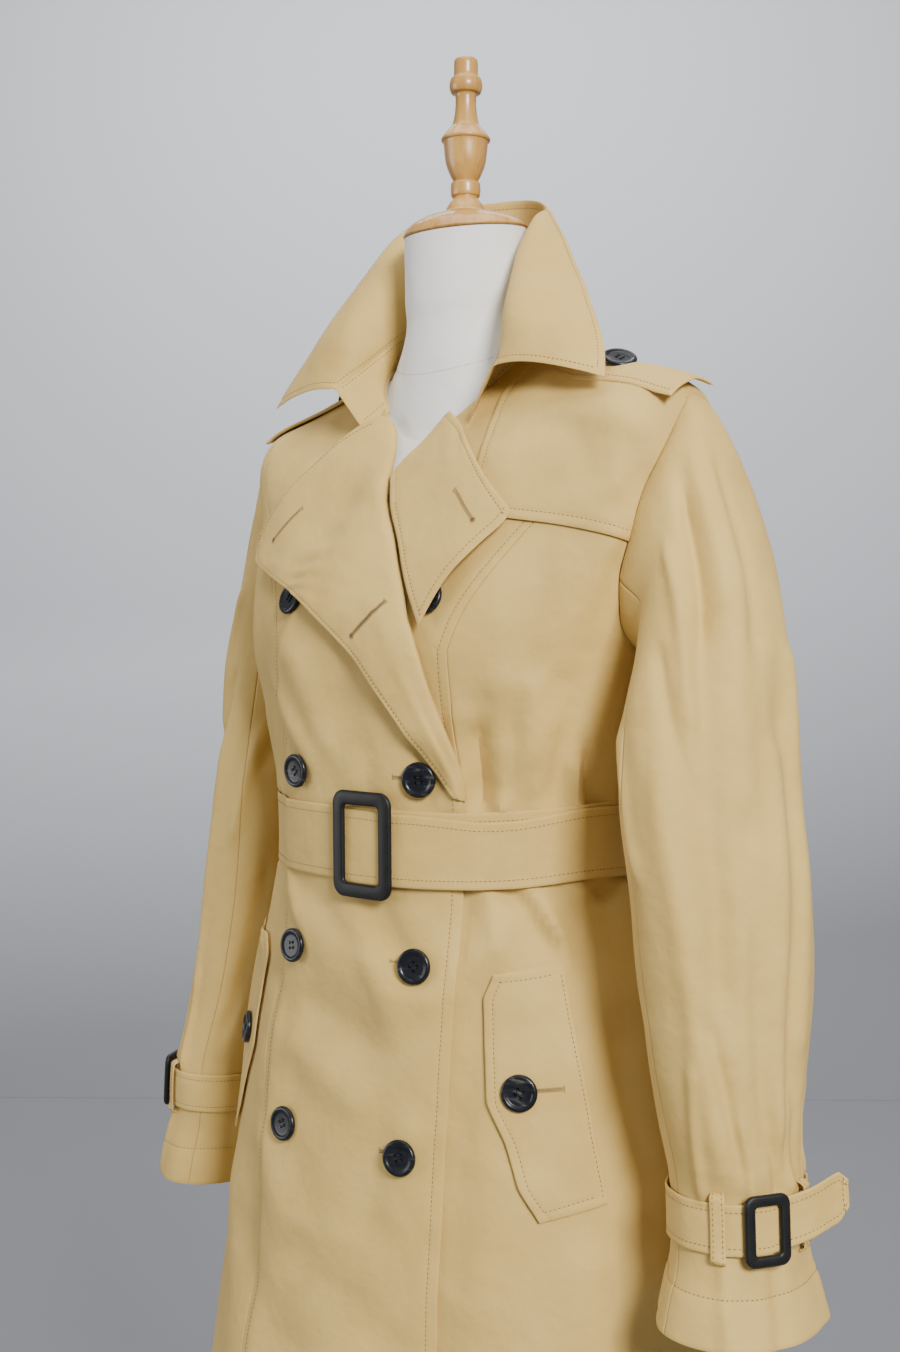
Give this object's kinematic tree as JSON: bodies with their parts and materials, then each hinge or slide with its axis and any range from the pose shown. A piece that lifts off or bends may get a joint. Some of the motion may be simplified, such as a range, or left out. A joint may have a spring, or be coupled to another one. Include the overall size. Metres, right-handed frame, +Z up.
{
  "type": "trench coat on a dress form",
  "caption": "Belted double-breasted trench coat with a raised collar, storm flap, epaulettes and strapped cuffs, worn by a limbless dress form on a round base.",
  "frame": {"origin": "middle of the underside of the stand's base, on the pole's axis", "axes": "+Z up along the pole, -Y the way the coat faces, +X towards the wearer's left"},
  "size_m": [0.6408, 0.386, 1.6267],
  "materials": {
    "cotton_gabardine": "fine steep twill, matte with a slight sheen",
    "dark_horn": "polished, faintly marbled",
    "black_leather": "stitched leather over a frame, semi-gloss",
    "white_jersey": "fine matte knit, stretched over the form",
    "varnished_wood": "clear satin varnish",
    "grey_enamel": "satin enamel"
  },
  "bodies": {
    "root": {"base": "grey_enamel", "belt": "cotton_gabardine", "belt_buckle": "black_leather", "belt_tail": "cotton_gabardine", "collar": "cotton_gabardine", "collar_stand": "cotton_gabardine", "finial": "varnished_wood", "form_torso": "white_jersey", "gun_flap": "cotton_gabardine", "left_back": "cotton_gabardine", "left_button_1": "dark_horn", "left_button_2": "dark_horn", "left_button_3": "dark_horn", "left_button_4": "dark_horn", "left_cuff_buckle": "black_leather", "left_cuff_strap": "cotton_gabardine", "left_epaulette": "cotton_gabardine", "left_epaulette_button": "dark_horn", "left_front": "cotton_gabardine", "left_keeper_back": "cotton_gabardine", "left_keeper_front": "cotton_gabardine", "left_lapel": "cotton_gabardine", "left_pocket": "cotton_gabardine", "left_pocket_button": "dark_horn", "left_side_front": "cotton_gabardine", "left_top_sleeve": "cotton_gabardine", "left_under_sleeve": "cotton_gabardine", "neck_cap": "varnished_wood", "pole": "grey_enamel", "right_back": "cotton_gabardine", "right_button_1": "dark_horn", "right_button_2": "dark_horn", "right_button_3": "dark_horn", "right_button_4": "dark_horn", "right_cuff_buckle": "black_leather", "right_cuff_strap": "cotton_gabardine", "right_epaulette": "cotton_gabardine", "right_epaulette_button": "dark_horn", "right_front": "cotton_gabardine", "right_keeper_back": "cotton_gabardine", "right_keeper_front": "cotton_gabardine", "right_lapel": "cotton_gabardine", "right_pocket": "cotton_gabardine", "right_pocket_button": "dark_horn", "right_side_front": "cotton_gabardine", "right_top_sleeve": "cotton_gabardine", "right_under_sleeve": "cotton_gabardine"}
  },
  "joints": []
}
